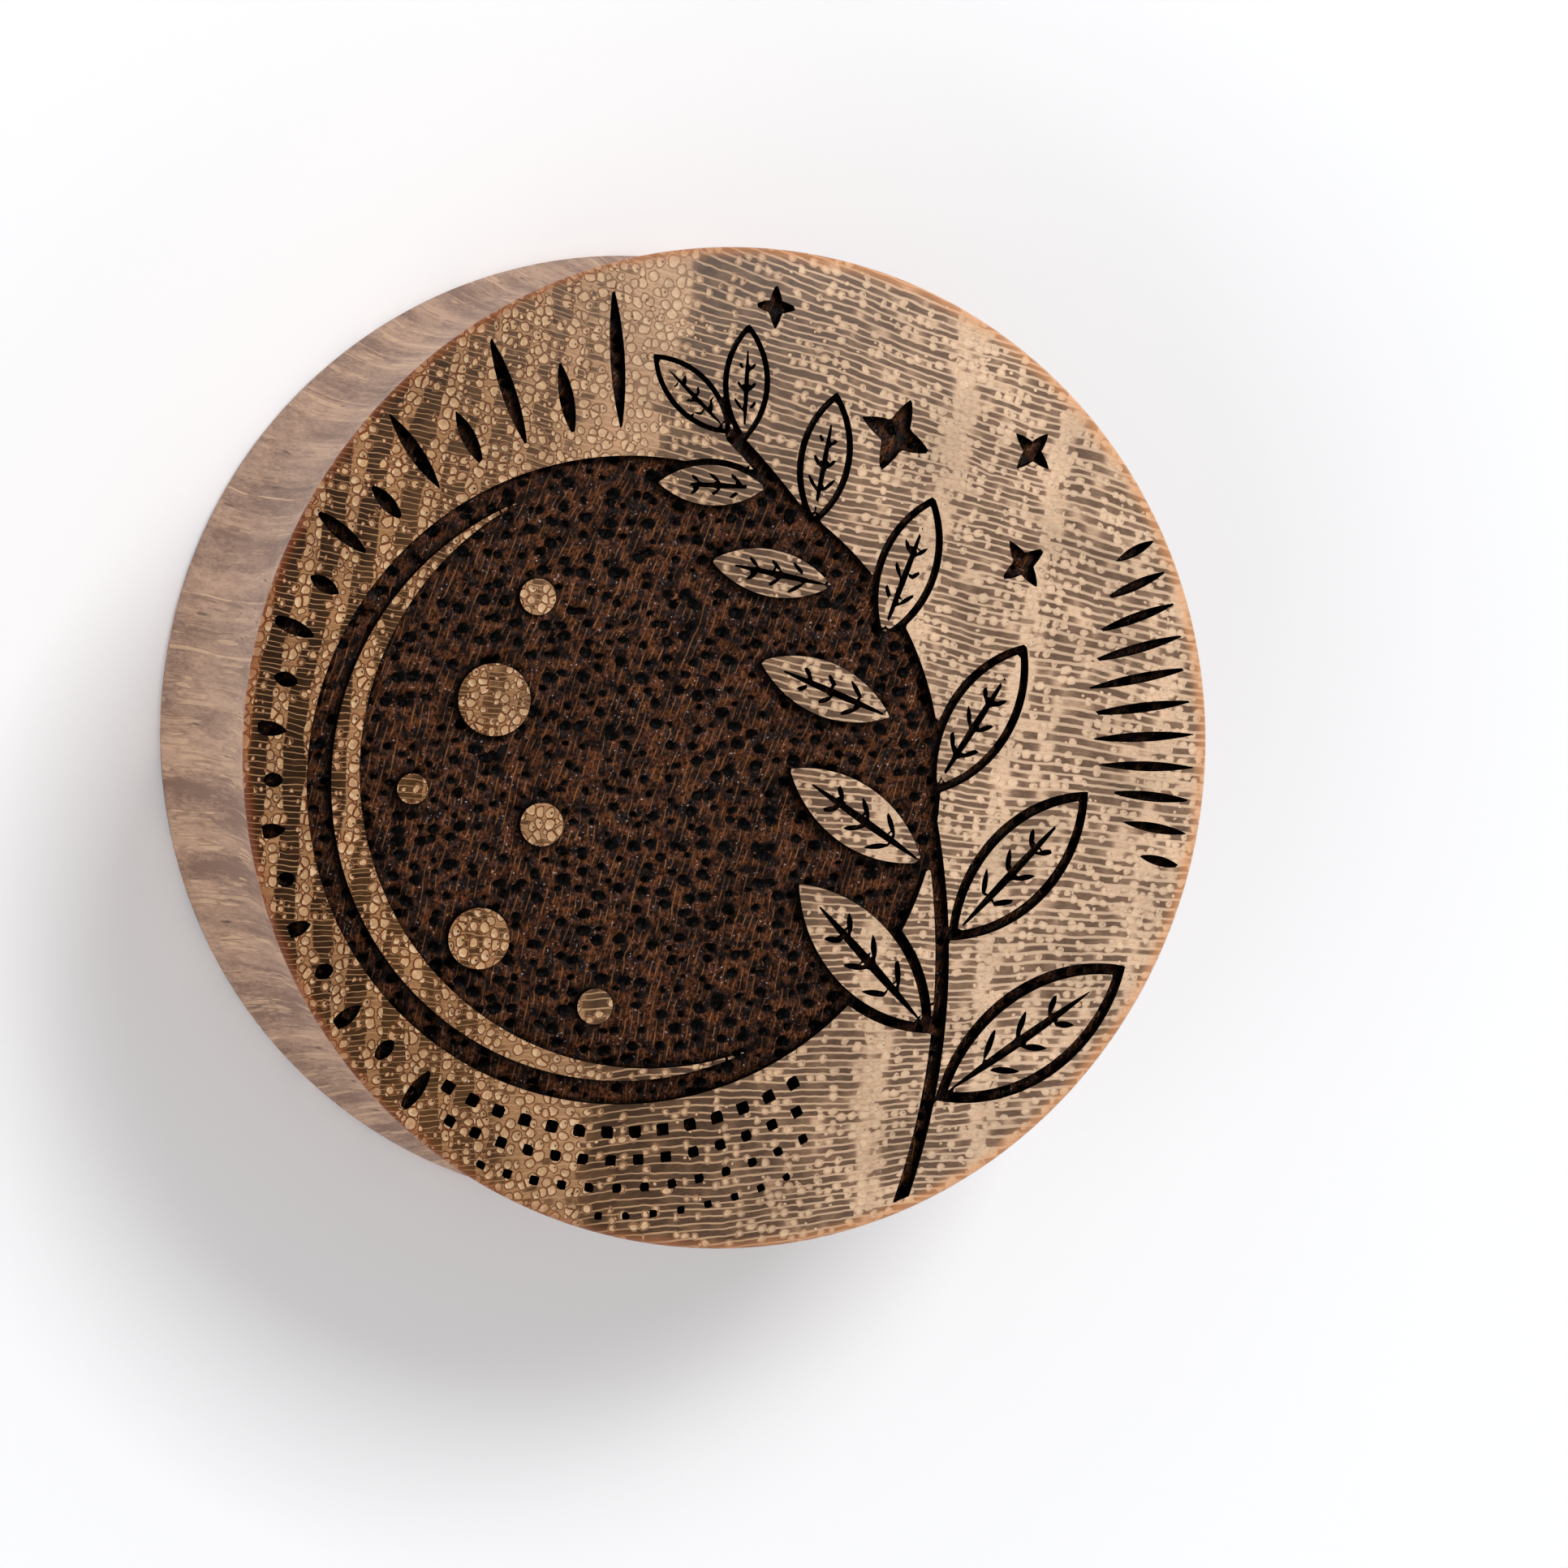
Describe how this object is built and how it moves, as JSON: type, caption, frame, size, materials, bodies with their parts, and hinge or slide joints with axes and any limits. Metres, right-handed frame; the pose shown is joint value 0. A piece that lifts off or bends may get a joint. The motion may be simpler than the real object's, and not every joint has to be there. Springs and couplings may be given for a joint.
{
  "type": "ear plug gauge",
  "caption": "Double flared wooden ear plug with a concave waist and a domed front face engraved with a sprig of leaves over a moon.",
  "frame": {"origin": "middle of the flat back face, which the plug lies on", "axes": "+Z along the plug's axis, from the back face to the engraved front; +Y is up on the engraved face"},
  "size_m": [0.0338, 0.0338, 0.0157],
  "materials": {
    "wood": "oiled and polished, with dark laser engraving"
  },
  "bodies": {
    "root": {"plug": "wood"}
  },
  "joints": []
}
